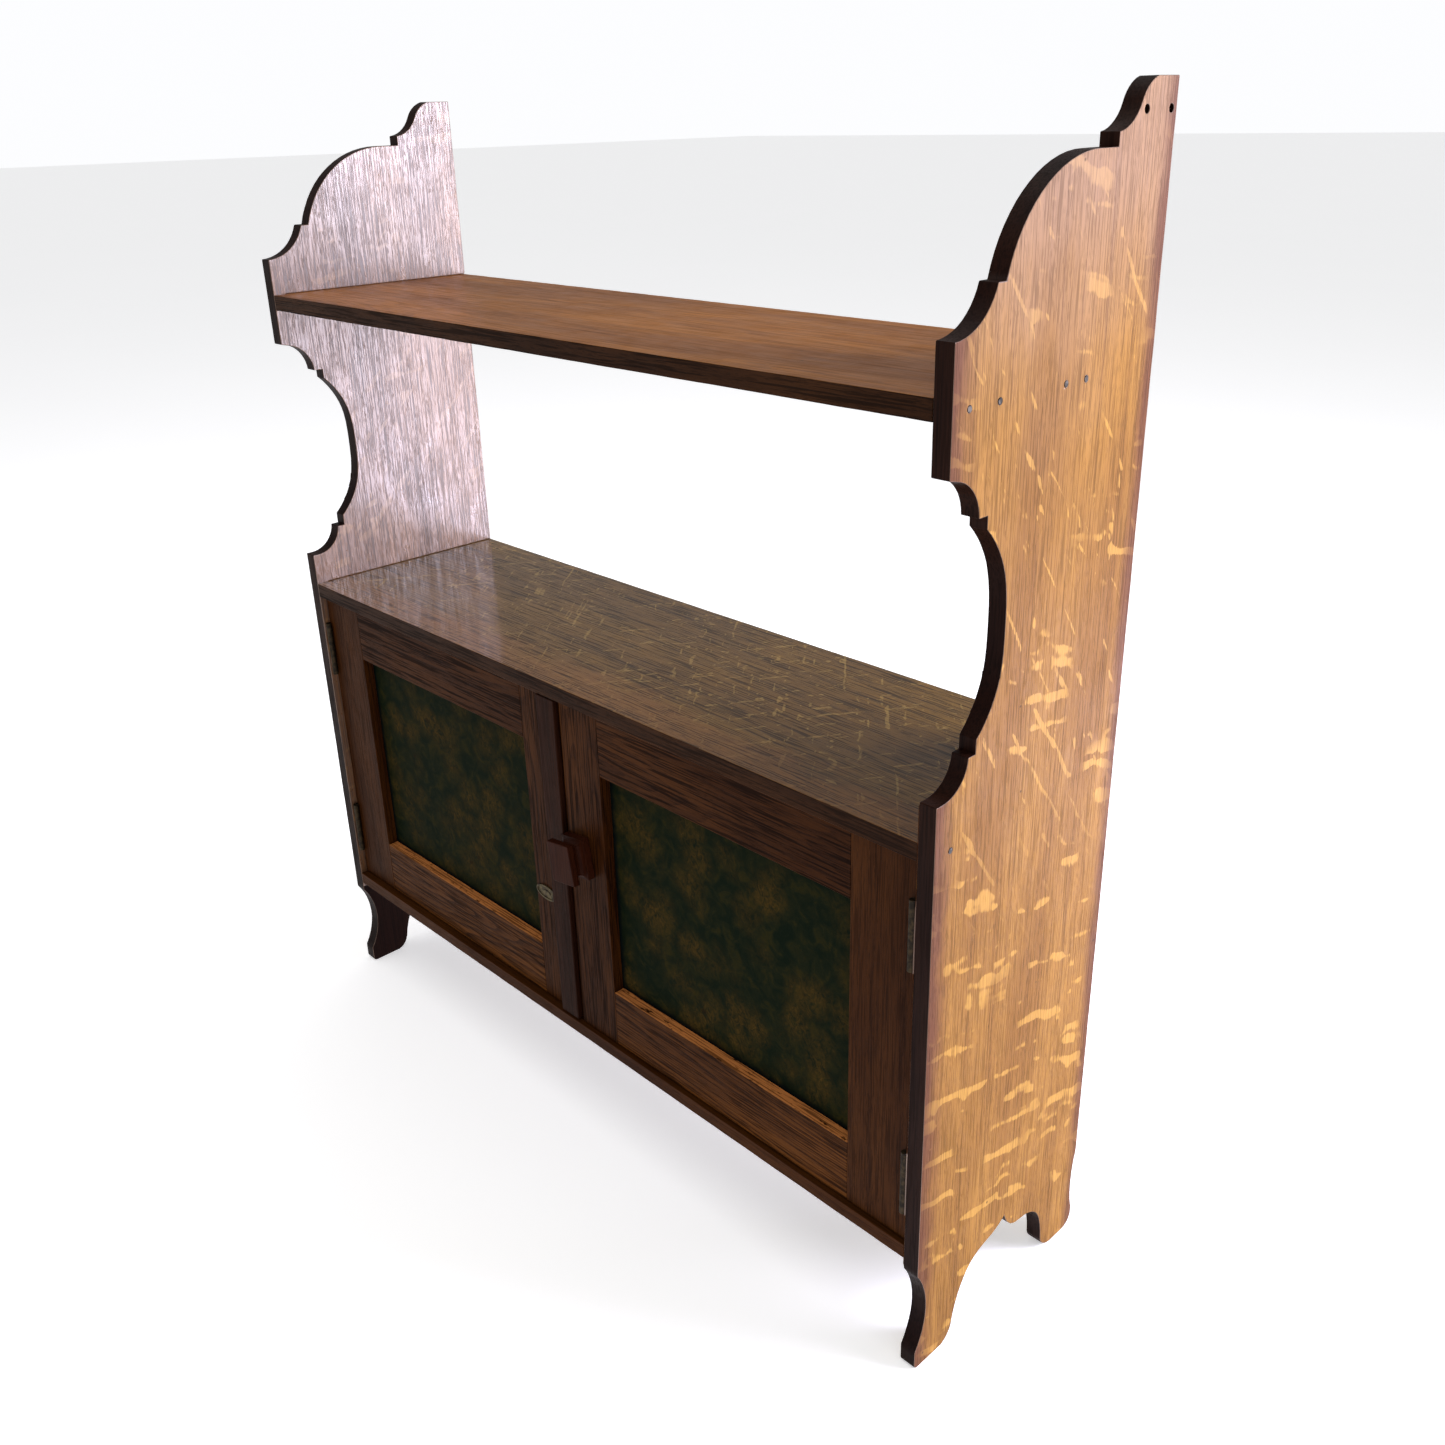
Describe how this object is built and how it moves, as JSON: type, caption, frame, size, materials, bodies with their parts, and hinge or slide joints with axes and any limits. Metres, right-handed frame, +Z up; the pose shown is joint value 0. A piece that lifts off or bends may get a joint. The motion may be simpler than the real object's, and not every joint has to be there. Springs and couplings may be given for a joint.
{
  "type": "shelf cupboard",
  "caption": "Oak wall or floor cupboard: shaped side boards carry an open shelf over a low cupboard with a pair of framed doors.",
  "frame": {"origin": "on the floor, in the middle of the overall box, which takes in the knob in front of the doors", "axes": "+X to the right as seen from the front, -Y towards the viewer in front of the doors, +Z up"},
  "size_m": [0.914, 0.2642, 1.028],
  "materials": {
    "side_oak": "satin",
    "shelf_oak": "satin",
    "door_oak": "satin",
    "painted_panel": "painted matt",
    "inner_wood": "matt",
    "knob_wood": "satin",
    "brass": "dull",
    "iron": "dull"
  },
  "bodies": {
    "carcass": {"back_board_1": "inner_wood", "back_board_2": "inner_wood", "back_board_3": "inner_wood", "back_nails": "iron", "cupboard_bottom": "shelf_oak", "cupboard_top": "shelf_oak", "door_stops": "inner_wood", "left_case_leaf_screws": "brass", "left_lower_case_leaf": "brass", "left_lower_hinge_pin": "brass", "left_side": "side_oak", "left_upper_case_leaf": "brass", "left_upper_hinge_pin": "brass", "right_case_leaf_screws": "brass", "right_lower_case_leaf": "brass", "right_lower_hinge_pin": "brass", "right_side": "side_oak", "right_upper_case_leaf": "brass", "right_upper_hinge_pin": "brass", "side_nails_left": "iron", "side_nails_right": "iron", "upper_shelf": "shelf_oak"},
    "left_door": {"bolt_case": "iron", "bolt_case_screws": "iron", "cover_strip": "door_oak", "left_door_bottom_rail": "door_oak", "left_door_hinge_stile": "door_oak", "left_door_leaf_screws": "brass", "left_door_meeting_stile": "door_oak", "left_door_panel": "painted_panel", "left_door_panel_beads": "inner_wood", "left_door_top_rail": "door_oak", "left_lower_door_leaf": "brass", "left_upper_door_leaf": "brass", "oval_plate": "brass", "oval_plate_pins": "brass"},
    "knob_turn": {"catch_tongue": "iron", "knob": "knob_wood", "knob_spindle": "iron"},
    "left_bolt": {"door_bolt": "iron"},
    "right_door": {"right_door_bottom_rail": "door_oak", "right_door_hinge_stile": "door_oak", "right_door_leaf_screws": "brass", "right_door_meeting_stile": "door_oak", "right_door_panel": "painted_panel", "right_door_panel_beads": "inner_wood", "right_door_top_rail": "door_oak", "right_lower_door_leaf": "brass", "right_upper_door_leaf": "brass"}
  },
  "joints": [
    {"name": "left_door_swing", "type": "hinge", "parent": "carcass", "child": "left_door", "pos_m": [-0.4377, -0.10515, 0.318], "axis": [0, 0, -1], "range_deg": [0, 150]},
    {"name": "right_door_swing", "type": "hinge", "parent": "carcass", "child": "right_door", "pos_m": [0.4377, -0.10865, 0.318], "axis": [0, 0, 1], "range_deg": [0, 150]},
    {"name": "knob_turn", "type": "hinge", "parent": "right_door", "child": "knob_turn", "pos_m": [0.0245, -0.10535, 0.343], "axis": [0, 1, 0], "range_deg": [0, 20]},
    {"name": "left_bolt_slide", "type": "slide", "parent": "left_door", "child": "left_bolt", "axis": [0, 0, -1], "range_m": [0, 0.012]}
  ]
}
